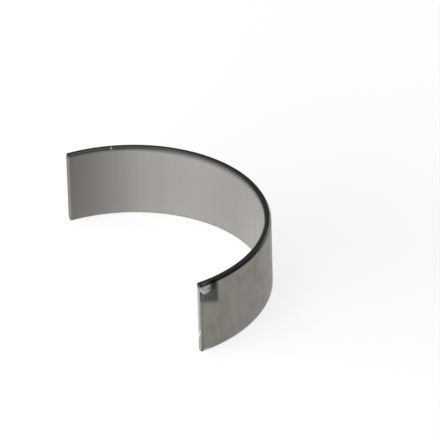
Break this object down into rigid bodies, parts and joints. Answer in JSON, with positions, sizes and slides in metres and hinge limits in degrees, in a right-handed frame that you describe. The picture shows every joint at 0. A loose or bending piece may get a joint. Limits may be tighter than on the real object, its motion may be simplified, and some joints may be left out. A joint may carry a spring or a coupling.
{
  "type": "engine bearing shell",
  "caption": "Half-round thin-wall engine bearing shell with a plain running face, chamfered edges and a pressed locating lug, free before fitting.",
  "frame": {"origin": "middle of the bounding box, on the side face that the shell stands on; the bore's axis is upright at x = -0.648 mm, y = -16.286 mm", "axes": "+Z along the bore's axis, +Y towards the crown of the arc, +X towards the joint face with the locating lug"},
  "size_m": [0.0638, 0.03, 0.0171],
  "materials": {
    "bearing_steel": "satin: broached lining, ground steel back"
  },
  "bodies": {
    "root": {"bearing_shell": "bearing_steel"}
  },
  "joints": []
}
